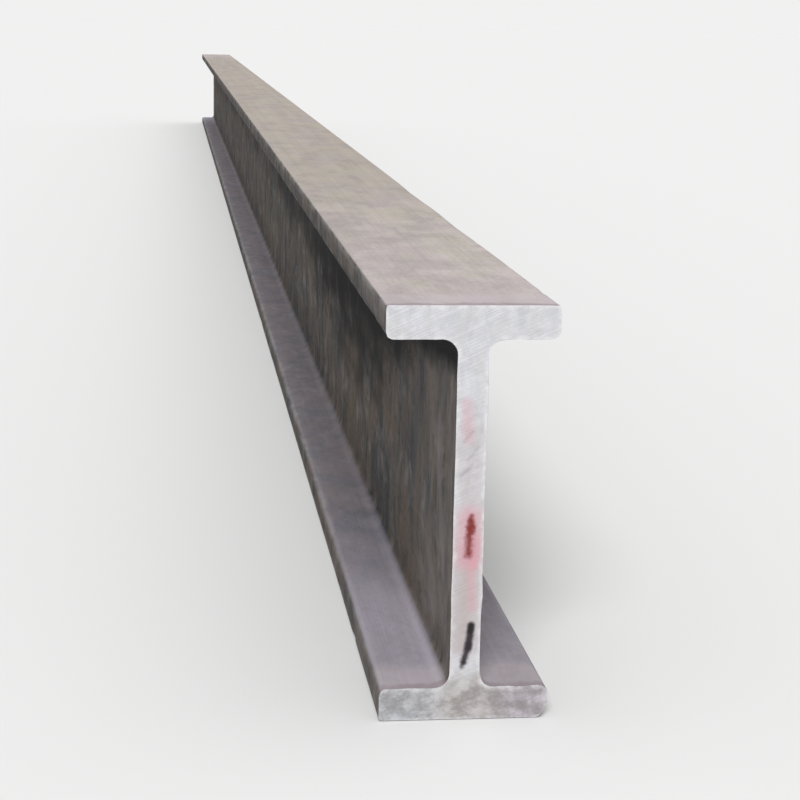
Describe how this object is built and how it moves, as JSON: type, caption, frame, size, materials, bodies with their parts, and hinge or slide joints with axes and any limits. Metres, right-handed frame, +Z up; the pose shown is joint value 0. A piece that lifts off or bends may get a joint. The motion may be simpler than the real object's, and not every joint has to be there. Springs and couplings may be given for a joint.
{
  "type": "steel h-beam",
  "caption": "Hot-rolled steel H-beam with parallel flanges, thick web, rounded roots and toes, cut square at both ends, for framing and lintels.",
  "frame": {"origin": "underside of the bottom flange, halfway across its width and halfway along the length", "axes": "+Y along the beam, -Y to the sawn end with the marks; +X across the flanges; +Z up, out of the top flange"},
  "size_m": [0.102, 6, 0.25],
  "materials": {
    "rolled_steel": "dull grey-brown rolled skin, bright saw-cut ends"
  },
  "bodies": {
    "root": {"h_beam": "rolled_steel"}
  },
  "joints": []
}
